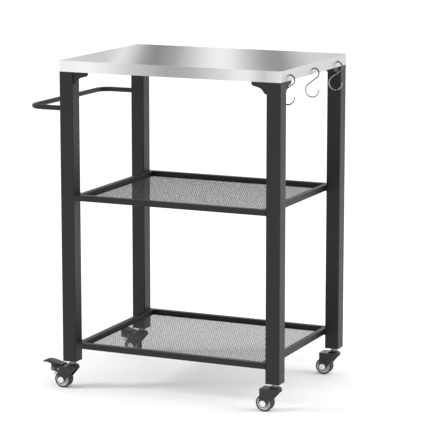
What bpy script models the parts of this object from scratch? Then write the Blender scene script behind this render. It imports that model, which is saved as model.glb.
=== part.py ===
"""Kitchen island cart: a folded steel top on four square legs, two mesh shelves, a side handle,
three hanging hooks and four swivel casters, two of them with a brake.

Metres, +Z up. +X runs from the handle end to the hook end, +Y from the front to the back, and the
origin is on the floor under the middle of the whole cart.
"""

import math

import bmesh
import bpy
from mathutils import Matrix, Vector
from mathutils.geometry import interpolate_bezier

# Driving dimensions.
BODY_X = 0.560
BODY_Y = 0.410
HEIGHT = 0.790
HANDLE_REACH = 0.095
GAP = 0.0003  # between pieces that touch on the real cart

# Top: a tray of folded sheet, open below, with a lip turned in all round.
TOP_DEPTH = 0.027
TOP_SHEET = 0.0012
TOP_LIP = 0.015
TOP_FOLD = 0.0016
TOP_CORNER = 0.0025
STIFFENER_X = 0.450
STIFFENER_WIDTH = 0.040
STIFFENER_DEPTH = 0.016
STIFFENER_FLANGE = 0.012
STIFFENER_PITCH = 0.140

# Square-tube legs and the plugs in their lower ends.
LEG_SIDE = 0.035
LEG_WALL = 0.0015
LEG_CORNER = 0.0025
LEG_BOTTOM = 0.068
PLUG_DEPTH = 0.022

# Gussets under the top, two at each leg.
GUSSET_LENGTH = 0.038
GUSSET_INSET = 0.0035  # back from the leg's outer face, clear of the hooks
GUSSET_NOSE_CURVE = ((0.0380, -0.0030), (0.0380, -0.0080), (0.0345, -0.0093), (0.0300, -0.0103))
GUSSET_COVE_CURVE = ((0.0300, -0.0103), (0.0200, -0.0125), (0.0130, -0.0145), (0.0095, -0.0210))
GUSSET_TOE_CURVE = ((0.0095, -0.0210), (0.0075, -0.0250), (0.0050, -0.0270), (0.0003, -0.0280))
GUSSET_PLATE = 0.003
GUSSET_FLANGE = 0.013
GUSSET_FLANGE_END = 0.033
GUSSET_FLANGE_PLATE = 0.002

# Shelves: a welded rectangle of square tube with a mesh panel low inside it.
RAIL_SIDE = 0.014
RAIL_WALL = 0.0012
RAIL_CORNER = 0.0012
SHELF_TOPS = {"middle_shelf": 0.473, "lower_shelf": 0.116}
MESH_PLATE = 0.0012
MESH_LIFT = 0.0015
DRAIN_RADIUS = 0.002

# Handle: a round tube bent to a U.
HANDLE_RADIUS = 0.006
HANDLE_WALL = 0.0012
HANDLE_BEND = 0.030
HANDLE_HEIGHT = 0.675

# S-hooks, hung in holes of the right skirt.
HOOK_WIRE = 0.0015
HOOK_UPPER = 0.0115
HOOK_LOWER = 0.0165
HOOK_LOWER_SHIFT = -0.005
HOOK_LOWER_DROP = 0.051
HOOK_PITCH = 0.149
HOOK_APEX = 0.0142  # below the worktop
HOOK_HOLE = 0.0035

# Casters. The wheel trails behind the stem, towards -X.
TRAIL = 0.0237
WHEEL_RADIUS = 0.020
TYRE_HALF = 0.0110
TYRE_SHOULDER = 0.0016
TYRE_CROWN = 0.0040
RIM_RADIUS = 0.0168
HUB_BOSS = 0.0060
HUB_BORE = 0.0033
HUB_WEB = 0.0045  # half the thickness of the disc between boss and rim
RIM_LIP = 0.0030
FORK_HALF = 0.0166
FORK_SHEET = 0.0020
FORK_TOP = 0.055
FORK_REAR = 0.0325
FORK_BOSS = 0.0094
FORK_LOW = 0.008
FORK_NOSE_X = 0.0196  # past the round front of the fork
FORK_THROAT = ((-0.0075, 0.0265), (0.0120, 0.0485), (0.0196, 0.0495))  # front edge, boss to nose
EAR_STEP = 0.002
PAST = 0.010  # how far a cutter runs past what it cuts
DOME_RADIUS = 0.0150
DOME_RISE = 0.0035
DOME_EDGE = 0.0008
DOME_SLOPE = 0.003
STEM_RADIUS = 0.004
STEM_TOP = 0.0866
STEM_DISC = 0.0090
DISC_PLATE = 0.0023
COLLAR_RADIUS = 0.0068
RIVET_RADIUS = 0.0062
RIVET_HEAD = 0.0022
AXLE_RADIUS = 0.0030
CAP_RADIUS = 0.0078
CAP_HEIGHT = 0.0024

# Brake: a rocking pedal and a leaf that it presses on the tyre, on two cross pins.
PEDAL_PIVOT = Vector((-0.0455, 0.0465))
PEDAL_HALF = 0.012
PEDAL_LOBE = 0.0058
PEDAL_PIN = 0.0022
PEDAL_PIN_HEAD = (0.0030, 0.0010)  # radius and height
LEAF_PIVOT = Vector((-0.0305, 0.0460))
LEAF_HALF = 0.008
LEAF_LENGTH = 0.024
LEAF_PLATE = 0.0012
LEAF_SLOPE = math.radians(222.4)
LEAF_PIN = 0.0015
LEAF_PIN_HEAD = (0.0026, 0.0010)
LEAF_CURL = 0.0030
EAR_RADIUS = 0.0057

# Places worked out from the dimensions above.
HOOK_REACH = HOOK_UPPER + HOOK_WIRE - TOP_SHEET / 2
LEFT = -(HANDLE_REACH + BODY_X + HOOK_REACH) / 2 + HANDLE_REACH
RIGHT = LEFT + BODY_X
MIDDLE_X = (LEFT + RIGHT) / 2
TOP_BOTTOM = HEIGHT - TOP_DEPTH
LEG_X = BODY_X / 2 - LEG_SIDE / 2
LEG_Y = BODY_Y / 2 - LEG_SIDE / 2
CORNERS = {
    "front_left": (MIDDLE_X - LEG_X, -LEG_Y),
    "front_right": (MIDDLE_X + LEG_X, -LEG_Y),
    "back_left": (MIDDLE_X - LEG_X, LEG_Y),
    "back_right": (MIDDLE_X + LEG_X, LEG_Y),
}
BRAKED = ("front_left", "back_left")

ROUND_STEPS = 16
HUB_STEPS = 20
TYRE_STEPS = 24
PIN_STEPS = 12
CORNER_STEPS = 3


# --- materials and objects -------------------------------------------------------------------------


def finish(name, colour, roughness, metallic=0.0):
    found = bpy.data.materials.get(name)
    if found:
        return found
    made = bpy.data.materials.new(name)
    made.use_nodes = True
    shader = made.node_tree.nodes["Principled BSDF"]
    shader.inputs["Base Color"].default_value = (*colour, 1.0)
    shader.inputs["Roughness"].default_value = roughness
    shader.inputs["Metallic"].default_value = metallic
    made.diffuse_color = (*colour, 1.0)
    return made


def brushed_steel():
    return finish("brushed_steel", (0.62, 0.62, 0.63), 0.28, 1.0)


def zinc_plate():
    return finish("zinc_plate", (0.50, 0.51, 0.52), 0.40, 1.0)


def black_powder_coat():
    return finish("black_powder_coat", (0.040, 0.040, 0.042), 0.45)


def black_fork_paint():
    return finish("black_fork_paint", (0.018, 0.018, 0.019), 0.40)


def black_plastic():
    return finish("black_plastic", (0.025, 0.025, 0.026), 0.50)


def grey_nylon():
    return finish("grey_nylon", (0.55, 0.56, 0.57), 0.40)


def tyre_rubber():
    return finish("tyre_rubber", (0.020, 0.020, 0.021), 0.70)


def bright_steel():
    return finish("bright_steel", (0.75, 0.75, 0.76), 0.15, 1.0)


def add(name, bm, material=None, at=(0, 0, 0), parent=None, smooth=None):
    """Make an object from a bmesh; smooth is the largest angle that is shaded as one surface."""
    mesh = bpy.data.meshes.new(name)
    bm.to_mesh(mesh)
    bm.free()
    if smooth:
        mesh.shade_smooth()
        mesh.set_sharp_from_angle(angle=math.radians(smooth))
    thing = bpy.data.objects.new(name, mesh)
    bpy.context.scene.collection.objects.link(thing)
    thing.location = at
    thing.parent = parent
    if material:
        mesh.materials.append(material)
    return thing


def helper(name, bm, at=(0, 0, 0), parent=None):
    """An object that only shapes others."""
    thing = add(name, bm, at=at, parent=parent)
    thing.hide_render = True
    thing.display_type = "WIRE"
    return thing


def combine(thing, other, operation="DIFFERENCE"):
    step = thing.modifiers.new(other.name, "BOOLEAN")
    step.operation = operation
    step.solver = "EXACT"
    step.object = other


def pivot(name, at, parent=None):
    point = bpy.data.objects.new(name, None)
    point.empty_display_size = 0.01
    bpy.context.scene.collection.objects.link(point)
    point.location = at
    point.parent = parent
    return point


# --- shapes ----------------------------------------------------------------------------------------


def arc(centre, radius, start, end, steps):
    """Points on an arc, angles in degrees, both ends included."""
    angles = [math.radians(start + (end - start) * i / steps) for i in range(steps + 1)]
    return [Vector((centre[0] + radius * math.cos(a), centre[1] + radius * math.sin(a))) for a in angles]


def bezier(start, lead, trail, end, count):
    points = interpolate_bezier(*(Vector((*p, 0)) for p in (start, lead, trail, end)), count)
    return [Vector((p.x, p.y)) for p in points]


def rounded_square(half_x, half_y, radius, steps=CORNER_STEPS):
    """A rectangle's outline with round corners, anticlockwise."""
    outline = []
    for side_x, side_y, start in ((1, 1, 0), (-1, 1, 90), (-1, -1, 180), (1, -1, 270)):
        centre = (side_x * (half_x - radius), side_y * (half_y - radius))
        outline += arc(centre, radius, start, start + 90, steps)
    return outline


def circle(radius, steps=ROUND_STEPS, turn=0.0):
    return arc((0, 0), radius, turn, turn + 360 * (steps - 1) / steps, steps - 1)


def raised(outline, z):
    return [Vector((p.x, p.y, z)) for p in outline]


def skin(loops, ring=False):
    """Join loops of points one to the next; ring joins the last to the first, or the ends are filled."""
    bm = bmesh.new()
    rows = [[bm.verts.new(p) for p in loop] for loop in loops]
    pairs = list(zip(rows, rows[1:]))
    if ring:
        pairs.append((rows[-1], rows[0]))
    for low, high in pairs:
        for i in range(len(low)):
            j = (i + 1) % len(low)
            bm.faces.new((low[i], low[j], high[j], high[i]))
    if not ring:
        bm.faces.new(rows[0])
        bm.faces.new(rows[-1])
    bmesh.ops.recalc_face_normals(bm, faces=bm.faces)
    return bm


def prism(outline, low, high, upright=True):
    """An outline extruded along Z, or one drawn in X and Z and extruded along Y."""
    if upright:
        return skin([raised(outline, low), raised(outline, high)])
    return skin([[Vector((p.x, y, p.y)) for p in outline] for y in (low, high)])


def box(low, high):
    bm = bmesh.new()
    centre = (Vector(low) + Vector(high)) / 2
    size = Vector(high) - Vector(low)
    bmesh.ops.create_cube(bm, size=1, matrix=Matrix.Translation(centre) @ Matrix.Diagonal((*size, 1)))
    return bm


def rod(radius, low, high, axis, steps=ROUND_STEPS):
    """A plain cylinder along X, Y or Z."""
    turns = {"X": Matrix.Rotation(math.pi / 2, 4, "Y"), "Y": Matrix.Rotation(-math.pi / 2, 4, "X")}
    bm = prism(circle(radius, steps), low, high)
    bm.transform(turns.get(axis, Matrix()))
    return bm


def turned(profile, ring=False, steps=ROUND_STEPS, along_y=False):
    """A profile of (radius, height) pairs spun about Z, or about Y. A ring's profile is a closed loop."""
    bm = bmesh.new()
    verts = [bm.verts.new((r, 0, z)) for r, z in profile]
    edges = [bm.edges.new(pair) for pair in zip(verts, verts[1:])]
    if ring:
        edges.append(bm.edges.new((verts[-1], verts[0])))
    bmesh.ops.spin(bm, geom=verts + edges, axis=(0, 0, 1), angle=math.tau, steps=steps, use_merge=True)
    bmesh.ops.remove_doubles(bm, verts=bm.verts, dist=1e-6)
    bmesh.ops.recalc_face_normals(bm, faces=bm.faces)
    if along_y:
        bm.transform(Matrix.Rotation(-math.pi / 2, 4, "X"))
    return bm


def rings_along(path, normal, radius, steps):
    """Circles square to a flat path whose plane has this normal."""
    loops = []
    for i, point in enumerate(path):
        along = (path[min(i + 1, len(path) - 1)] - path[max(i - 1, 0)]).normalized()
        side = along.cross(normal)
        turns = [math.tau * k / steps for k in range(steps)]
        loops.append([point + radius * (math.cos(a) * side + math.sin(a) * normal) for a in turns])
    return loops


def framed(half_x, half_y, section):
    """A bar of this (inset, height) section carried round a rectangle, with mitred corners."""
    corners = ((1, 1), (-1, 1), (-1, -1), (1, -1))
    loops = [[Vector((a * (half_x - d), b * (half_y - d), z)) for d, z in section] for a, b in corners]
    return skin(loops, ring=True)


# --- top -------------------------------------------------------------------------------------------


def make_top():
    levels = [
        (TOP_SHEET, HEIGHT - TOP_SHEET),
        (TOP_SHEET, TOP_BOTTOM + TOP_SHEET),
        (TOP_LIP, TOP_BOTTOM + TOP_SHEET),
        (TOP_LIP, TOP_BOTTOM),
        (0, TOP_BOTTOM),
    ]
    levels += [
        (TOP_FOLD + p.x, HEIGHT - TOP_FOLD + p.y) for p in arc((0, 0), TOP_FOLD, 180, 90, CORNER_STEPS)
    ]
    loops = []
    for inset, z in levels:
        radius = max(TOP_CORNER - inset, TOP_CORNER / 5)
        outline = rounded_square(BODY_X / 2 - inset, BODY_Y / 2 - inset, radius)
        loops.append(raised([p + Vector((MIDDLE_X, 0)) for p in outline], z))
    top = add("tabletop", skin(loops), brushed_steel(), smooth=35)
    reach = HOOK_UPPER + 3 * HOOK_WIRE
    for row, y in hook_rows():
        hole = rod(HOOK_HOLE, RIGHT - 2 * TOP_SHEET, RIGHT + TOP_SHEET, "X")
        combine(top, helper(row + "_hole", hole, (0, y, hook_apex() - HOOK_WIRE - GAP + HOOK_HOLE)))
        notch = box((-reach - TOP_SHEET, -reach, -TOP_SHEET), (-TOP_SHEET - GAP, reach, 2 * TOP_SHEET))
        combine(top, helper(row + "_notch", notch, (RIGHT, y, TOP_BOTTOM)))


def make_stiffeners():
    """Hat-section bars under the sheet, end to end of the space between the legs."""
    high = HEIGHT - TOP_SHEET - GAP
    half = STIFFENER_WIDTH / 2
    low = high - STIFFENER_DEPTH
    inner = half - STIFFENER_FLANGE
    sheet = TOP_SHEET
    outline = [
        (-half, high), (-half, high - sheet), (-inner - sheet, high - sheet), (-inner - sheet, low),
        (inner + sheet, low), (inner + sheet, high - sheet), (half, high - sheet), (half, high),
        (inner, high), (inner, low + sheet), (-inner, low + sheet), (-inner, high),
    ]  # fmt: skip
    for name, y in (("front_stiffener", -STIFFENER_PITCH / 2), ("back_stiffener", STIFFENER_PITCH / 2)):
        ends = (MIDDLE_X - STIFFENER_X / 2, MIDDLE_X + STIFFENER_X / 2)
        loops = [[Vector((x, y + across, z)) for across, z in outline] for x in ends]
        add(name, skin(loops), zinc_plate())


# --- legs, plugs and gussets -----------------------------------------------------------------------


def make_legs():
    half = LEG_SIDE / 2
    outer = rounded_square(half, half, LEG_CORNER)
    inner = rounded_square(half - LEG_WALL, half - LEG_WALL, LEG_CORNER - LEG_WALL)
    low, high = LEG_BOTTOM, TOP_BOTTOM - GAP
    plug_half = half - LEG_WALL - GAP
    plug = rounded_square(plug_half, plug_half, LEG_CORNER - LEG_WALL)
    bore = circle(STEM_RADIUS + GAP, len(plug))
    for corner, (x, y) in CORNERS.items():
        loops = [raised(outer, low), raised(outer, high), raised(inner, high), raised(inner, low)]
        add(corner + "_leg", skin(loops, ring=True), black_powder_coat(), (x, y, 0), smooth=35)
        ends = (low + GAP, low + PLUG_DEPTH)
        loops = [raised(plug, ends[0]), raised(plug, ends[1]), raised(bore, ends[1]), raised(bore, ends[0])]
        add(corner + "_plug", skin(loops, ring=True), black_plastic(), (x, y, 0))


def gusset_outline():
    """An ogee from a blunt nose to the leg. X is the distance from the leg, Y the height."""
    outline = [Vector((GAP, -GAP)), Vector((GUSSET_LENGTH, -GAP))]
    outline += bezier(*GUSSET_NOSE_CURVE, 5)
    outline += bezier(*GUSSET_COVE_CURVE, 9)[1:]
    outline += bezier(*GUSSET_TOE_CURVE, 5)[1:]
    return outline


def make_gussets():
    """One of each pair runs along X, with a flange for its screw, and one along Y."""
    outline = gusset_outline()
    half = LEG_SIDE / 2
    for corner, (x, y) in CORNERS.items():
        inward_x = 1 if x < MIDDLE_X else -1
        inward_y = 1 if y < 0 else -1
        face = y - inward_y * half
        plate = [face + inward_y * d for d in (GUSSET_INSET, GUSSET_INSET + GUSSET_PLATE)]
        loops = [
            [Vector((x + inward_x * (half + p.x), depth, TOP_BOTTOM + p.y)) for p in outline]
            for depth in plate
        ]
        across = add(corner + "_end_gusset", skin(loops), black_powder_coat())
        ends_x = sorted(x + inward_x * (half + d) for d in (GAP, GUSSET_FLANGE_END))
        ends_y = sorted(face + inward_y * d for d in (GUSSET_INSET + GAP, GUSSET_FLANGE))
        low, high = TOP_BOTTOM - GAP - GUSSET_FLANGE_PLATE, TOP_BOTTOM - GAP
        flange = helper(
            corner + "_flange", box((ends_x[0], ends_y[0], low), (ends_x[1], ends_y[1], high))
        )
        combine(across, flange, "UNION")
        side = x - inward_x * half
        plate = [side + inward_x * d for d in (GUSSET_INSET, GUSSET_INSET + GUSSET_PLATE)]
        loops = [
            [Vector((depth, y + inward_y * (half + p.x), TOP_BOTTOM + p.y)) for p in outline]
            for depth in plate
        ]
        add(corner + "_side_gusset", skin(loops), black_powder_coat())


# --- shelves ---------------------------------------------------------------------------------------


def make_shelves():
    half_x = BODY_X / 2 - LEG_SIDE - GAP
    half_y = BODY_Y / 2
    centre = RAIL_SIDE / 2
    for shelf, z in SHELF_TOPS.items():
        at = (MIDDLE_X, 0, z - centre)
        section = [(p.x + centre, p.y) for p in rounded_square(centre, centre, RAIL_CORNER, 2)]
        frame = add(shelf + "_frame", framed(half_x, half_y, section), black_powder_coat(), at)
        inner = centre - RAIL_WALL
        hollow = [(a * inner + centre, b * inner) for a, b in ((1, 1), (-1, 1), (-1, -1), (1, -1))]
        combine(frame, helper(shelf + "_hollow", framed(half_x, half_y, hollow), at))
        drain = rod(DRAIN_RADIUS, -RAIL_SIDE, 0, "Z", 12)
        combine(frame, helper(shelf + "_drain", drain, (MIDDLE_X, centre - half_y, z - centre)))
        inset = RAIL_SIDE + GAP
        low = z - RAIL_SIDE + MESH_LIFT
        panel = box(
            (MIDDLE_X - half_x + inset, -half_y + inset, low),
            (MIDDLE_X + half_x - inset, half_y - inset, low + MESH_PLATE),
        )
        add(shelf + "_mesh", panel, black_powder_coat())


# --- handle and hooks ------------------------------------------------------------------------------


def make_handle():
    outer_x = LEFT - HANDLE_REACH + HANDLE_RADIUS
    bend_x = outer_x + HANDLE_BEND
    arms = LEG_Y
    bend_y = arms - HANDLE_BEND
    route = [Vector((LEFT - GAP, -arms))]
    route += arc((bend_x, -bend_y), HANDLE_BEND, 270, 180, 7)
    route += arc((bend_x, bend_y), HANDLE_BEND, 180, 90, 7)
    route.append(Vector((LEFT - GAP, arms)))
    path = raised(route, HANDLE_HEIGHT)
    up = Vector((0, 0, 1))
    outside = rings_along(path, up, HANDLE_RADIUS, 10)
    inside = rings_along(path, up, HANDLE_RADIUS - HANDLE_WALL, 10)
    for rings in (outside, inside):  # both ends are cut square, just clear of the legs
        for loop in (rings[0], rings[-1]):
            for point in loop:
                point.x = LEFT - GAP
    add("side_handle", skin(outside + inside[::-1], ring=True), black_powder_coat(), smooth=40)


def hook_rows():
    return (("front_hook", -HOOK_PITCH), ("middle_hook", 0.0), ("back_hook", HOOK_PITCH))


def hook_apex():
    return HEIGHT - HOOK_APEX


def hook_path():
    """The wire's middle in X and Z, from the tip inside the top to the open tip below.

    Two circles turned opposite ways, joined by the line that touches both.
    """
    upper = Vector((0, -HOOK_UPPER))
    lower = Vector((HOOK_LOWER_SHIFT, -HOOK_LOWER_DROP))
    between = lower - upper
    heading = math.degrees(math.atan2(between.y, between.x))
    swing = math.degrees(math.acos((HOOK_UPPER + HOOK_LOWER) / between.length))
    leave = heading + swing
    meet = leave + 180
    return arc(upper, HOOK_UPPER, 198, leave, 14) + arc(lower, HOOK_LOWER, meet, 363, 14)


def make_hooks():
    across = Vector((0, 1, 0))
    path = [Vector((p.x, 0, p.y)) for p in hook_path()]
    for name, y in hook_rows():
        wire = skin(rings_along(path, across, HOOK_WIRE, 6))
        at = (RIGHT - TOP_SHEET / 2, y, hook_apex())
        add(name, wire, bright_steel(), at, smooth=50)


# --- casters ---------------------------------------------------------------------------------------


def fork_side(braked):
    """A cheek's outline in X and Z: rear edge, boss round the axle, then a slope up to the front."""
    rear, top = -FORK_REAR, FORK_TOP
    outline = [Vector((FORK_NOSE_X, top + DOME_RISE)), Vector((rear, top + DOME_RISE))]
    if braked:
        ear_top = PEDAL_PIVOT.y + EAR_RADIUS
        outline.append(Vector((rear, ear_top)))
        outline += arc(PEDAL_PIVOT, EAR_RADIUS, 90, 270, 6)
        outline.append(Vector((rear, PEDAL_PIVOT.y - EAR_RADIUS - EAR_STEP)))
    outline += arc((-TRAIL, WHEEL_RADIUS), FORK_BOSS, 180, 315, 6)
    return outline + [Vector(point) for point in FORK_THROAT]


def fork_plan(half, rear):
    """A rectangle behind the stem and a half circle in front of it."""
    return arc((0, 0), half, -90, 90, 10) + [Vector((-rear, half)), Vector((-rear, -half))]


def make_fork(corner, swivel, braked):
    rear = -PEDAL_PIVOT.x + 2 * EAR_RADIUS if braked else FORK_REAR
    fork = add(corner + "_fork", prism(fork_plan(FORK_HALF, rear), FORK_LOW, FORK_TOP), parent=swivel)
    fork.data.materials.append(black_fork_paint())
    name = corner + "_fork_"
    room = prism(fork_plan(FORK_HALF - FORK_SHEET, rear + PAST), 0, FORK_TOP - FORK_SHEET)
    combine(fork, helper(name + "room", room, parent=swivel))
    side = prism(fork_side(braked), -2 * FORK_HALF, 2 * FORK_HALF, upright=False)
    combine(fork, helper(name + "side", side, parent=swivel), "INTERSECT")
    low, high = FORK_TOP - FORK_SHEET / 2, FORK_TOP + DOME_RISE
    slope = [(DOME_RADIUS, FORK_TOP + DOME_EDGE), (DOME_RADIUS - DOME_SLOPE, high)]
    dome = turned([(0, low), (DOME_RADIUS, low), *slope, (0, high)])
    combine(fork, helper(name + "dome", dome, parent=swivel), "UNION")
    stem_hole = rod(STEM_RADIUS + GAP, FORK_TOP - PAST, FORK_TOP + PAST, "Z")
    combine(fork, helper(name + "stem_hole", stem_hole, parent=swivel))
    axle_hole = rod(AXLE_RADIUS + GAP, -2 * FORK_HALF, 2 * FORK_HALF, "Y")
    combine(fork, helper(name + "axle_hole", axle_hole, (-TRAIL, 0, WHEEL_RADIUS), swivel))
    if braked:
        for pin, at, radius in (("pedal", PEDAL_PIVOT, PEDAL_PIN), ("leaf", LEAF_PIVOT, LEAF_PIN)):
            hole = rod(radius + GAP, -2 * FORK_HALF, 2 * FORK_HALF, "Y", PIN_STEPS)
            combine(fork, helper(name + pin + "_hole", hole, (at.x, 0, at.y), swivel))


def make_stem(corner, swivel):
    """Fixed in the leg: a rivet head under the fork, the bearing disc, a collar and the stud."""
    under = FORK_TOP - FORK_SHEET - GAP
    disc = FORK_TOP + DOME_RISE + GAP
    disc_top = disc + DISC_PLATE
    collar_top = LEG_BOTTOM - GAP
    profile = [
        (0, under - RIVET_HEAD), (RIVET_RADIUS, under - RIVET_HEAD), (RIVET_RADIUS, under),
        (STEM_RADIUS, under), (STEM_RADIUS, disc), (STEM_DISC, disc), (STEM_DISC, disc_top),
        (COLLAR_RADIUS, disc_top), (COLLAR_RADIUS, collar_top), (STEM_RADIUS, collar_top),
        (STEM_RADIUS, STEM_TOP), (0, STEM_TOP),
    ]  # fmt: skip
    add(corner + "_stem", turned(profile), zinc_plate(), parent=swivel, smooth=35)


def make_wheel(corner, wheel):
    inner = FORK_HALF - FORK_SHEET - 2 * GAP
    half = TYRE_HALF - RIM_LIP / 2
    fillet = RIM_LIP / 2
    side = [
        (HUB_BORE, inner), (HUB_BOSS, inner), (HUB_BOSS + fillet / 2, HUB_WEB + fillet),
        (HUB_BOSS + RIM_LIP * 0.75, HUB_WEB), (RIM_RADIUS - RIM_LIP - fillet, HUB_WEB),
        (RIM_RADIUS - RIM_LIP, half), (RIM_RADIUS, half),
    ]  # fmt: skip
    profile = side + [(r, -h) for r, h in reversed(side)]
    add(corner + "_hub", turned(profile, True, HUB_STEPS, True), grey_nylon(), parent=wheel, smooth=35)
    seat = RIM_RADIUS + GAP
    crown = [
        (seat, TYRE_HALF), (WHEEL_RADIUS - TYRE_SHOULDER, TYRE_HALF),
        (WHEEL_RADIUS - TYRE_SHOULDER / 4, TYRE_HALF - TYRE_SHOULDER),
        (WHEEL_RADIUS, TYRE_HALF - TYRE_CROWN),
    ]  # fmt: skip
    profile = crown + [(r, -h) for r, h in reversed(crown)]
    add(corner + "_tyre", turned(profile, True, TYRE_STEPS, True), tyre_rubber(), parent=wheel, smooth=40)


def pin_profile(radius, half, head, height):
    """A pin with a domed head at each end, outside two plates whose outer faces are at half."""
    end = [
        (radius, half + GAP), (head, half + GAP), (head, half + GAP + height * 0.3),
        (head * 0.8, half + GAP + height * 0.8), (0, half + GAP + height),
    ]  # fmt: skip
    return [(r, -h) for r, h in reversed(end)] + end


def add_pin(name, profile, material, at, swivel):
    pin = turned(profile, steps=PIN_STEPS, along_y=True)
    add(name, pin, material, (at[0], 0, at[1]), swivel, smooth=35)


def pedal_outline():
    """A tongue that rises from the fork's top and curls down to its tip, over a round lobe."""
    tongue = bezier((-0.0220, 0.0576), (-0.0360, 0.0582), (-0.0480, 0.0643), (-0.0610, 0.0643), 8)
    tongue += bezier((-0.0610, 0.0643), (-0.0670, 0.0643), (-0.0720, 0.0628), (-0.0757, 0.0600), 7)[1:]
    under = bezier((-0.0750, 0.0585), (-0.0670, 0.0602), (-0.0580, 0.0592), (-0.0535, 0.0560), 8)
    lobe = arc(PEDAL_PIVOT, PEDAL_LOBE, 180, 360, 8)
    rest = FORK_TOP + 0.0006
    return tongue + under + lobe + [Vector((-0.0365, rest)), Vector((-0.0220, rest))]


def leaf_outline():
    """A curl round the pin and a flat blade."""
    along = Vector((math.cos(LEAF_SLOPE), math.sin(LEAF_SLOPE)))
    side = Vector((-along.y, along.x)) * LEAF_PLATE / 2
    start = math.degrees(LEAF_SLOPE)
    meet = math.degrees(math.asin(LEAF_PLATE / 2 / LEAF_CURL))
    curl = arc((0, 0), LEAF_CURL, start + meet, start + 360 - meet, 12)
    return curl + [along * LEAF_LENGTH - side, along * LEAF_LENGTH + side]


def make_brake(corner, swivel):
    rocker = pivot(corner + "_pedal_axis", (PEDAL_PIVOT.x, 0, PEDAL_PIVOT.y), swivel)
    outline = [p - PEDAL_PIVOT for p in pedal_outline()]
    body = prism(outline, -PEDAL_HALF, PEDAL_HALF, upright=False)
    pedal = add(corner + "_pedal", body, black_plastic(), parent=rocker)
    bore = rod(PEDAL_PIN + GAP, -2 * PEDAL_HALF, 2 * PEDAL_HALF, "Y", PIN_STEPS)
    combine(pedal, helper(corner + "_pedal_bore", bore, parent=rocker))
    hinge = pivot(corner + "_leaf_axis", (LEAF_PIVOT.x, 0, LEAF_PIVOT.y), swivel)
    blade = prism(leaf_outline(), -LEAF_HALF, LEAF_HALF, upright=False)
    leaf = add(corner + "_brake_leaf", blade, black_fork_paint(), parent=hinge)
    bore = rod(LEAF_PIN + GAP, -2 * LEAF_HALF, 2 * LEAF_HALF, "Y", PIN_STEPS)
    combine(leaf, helper(corner + "_leaf_bore", bore, parent=hinge))
    pin = pin_profile(PEDAL_PIN, FORK_HALF, *PEDAL_PIN_HEAD)
    add_pin(corner + "_pedal_pin", pin, zinc_plate(), PEDAL_PIVOT, swivel)
    pin = pin_profile(LEAF_PIN, FORK_HALF, *LEAF_PIN_HEAD)
    add_pin(corner + "_leaf_pin", pin, zinc_plate(), LEAF_PIVOT, swivel)


def make_casters():
    for corner, (x, y) in CORNERS.items():
        swivel = pivot(corner + "_swivel_axis", (x, y, 0))
        wheel = pivot(corner + "_wheel_axis", (-TRAIL, 0, WHEEL_RADIUS), swivel)
        make_stem(corner, swivel)
        make_fork(corner, swivel, corner in BRAKED)
        make_wheel(corner, wheel)
        pin = pin_profile(AXLE_RADIUS, FORK_HALF, CAP_RADIUS, CAP_HEIGHT)
        add_pin(corner + "_axle", pin, bright_steel(), (-TRAIL, WHEEL_RADIUS), swivel)
        if corner in BRAKED:
            make_brake(corner, swivel)


def main():
    for thing in list(bpy.data.objects):
        bpy.data.objects.remove(thing, do_unlink=True)
    make_top()
    make_stiffeners()
    make_legs()
    make_gussets()
    make_shelves()
    make_handle()
    make_hooks()
    make_casters()


main()
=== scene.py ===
import math

import bmesh
import bpy
from mathutils import Matrix, Vector
from mathutils.geometry import interpolate_bezier


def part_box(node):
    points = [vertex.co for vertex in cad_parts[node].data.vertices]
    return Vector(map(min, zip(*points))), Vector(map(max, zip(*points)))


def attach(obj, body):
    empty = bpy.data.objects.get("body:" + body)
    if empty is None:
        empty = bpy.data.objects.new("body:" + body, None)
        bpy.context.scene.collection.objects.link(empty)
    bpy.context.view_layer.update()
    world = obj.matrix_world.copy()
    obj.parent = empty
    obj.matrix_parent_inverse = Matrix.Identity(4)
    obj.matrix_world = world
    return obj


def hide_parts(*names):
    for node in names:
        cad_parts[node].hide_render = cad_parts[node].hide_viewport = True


# A rolling kitchen cart: every piece below is placed by the box of the CAD piece that it stands for.
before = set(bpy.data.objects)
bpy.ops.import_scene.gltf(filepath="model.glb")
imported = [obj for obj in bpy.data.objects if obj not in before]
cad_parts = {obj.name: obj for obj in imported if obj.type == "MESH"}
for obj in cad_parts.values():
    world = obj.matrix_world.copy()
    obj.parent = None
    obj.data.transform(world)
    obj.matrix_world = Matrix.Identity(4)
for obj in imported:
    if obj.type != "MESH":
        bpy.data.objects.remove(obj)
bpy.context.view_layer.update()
mm = 0.001
corners = ("front_left", "front_right", "back_left", "back_right")
braked = [corner for corner in corners if corner + "_pedal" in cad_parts]
topLow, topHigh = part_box("tabletop")
print("frame loaded,", len(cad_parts), "pieces")


# Points, solids and cuts.
def arc(centre, radius, start, end, steps):
    turns = [math.radians(start + (end - start) * i / steps) for i in range(steps + 1)]
    return [Vector((centre[0] + radius * math.cos(a), centre[1] + radius * math.sin(a))) for a in turns]


def bezier(points, count):
    found = interpolate_bezier(*(Vector((*p, 0)) for p in points), count)
    return [Vector((p.x, p.y)) for p in found]


def roundedOutline(halfX, halfY, radius, steps=6):
    outline = []
    for sideX, sideY, start in ((1, 1, 0), (-1, 1, 90), (-1, -1, 180), (1, -1, 270)):
        centre = (sideX * (halfX - radius), sideY * (halfY - radius))
        outline += arc(centre, radius, start, start + 90, steps)
    return outline


def circle(radius, steps):
    return arc((0, 0), radius, 0, 360 * (steps - 1) / steps, steps - 1)


def withoutRepeats(points):
    return [p for p, q in zip(points, points[1:] + points[:1]) if (p - q).length > 0.001 * mm]


def raised(outline, z, at=(0, 0)):
    return [Vector((p[0] + at[0], p[1] + at[1], z)) for p in outline]


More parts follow.
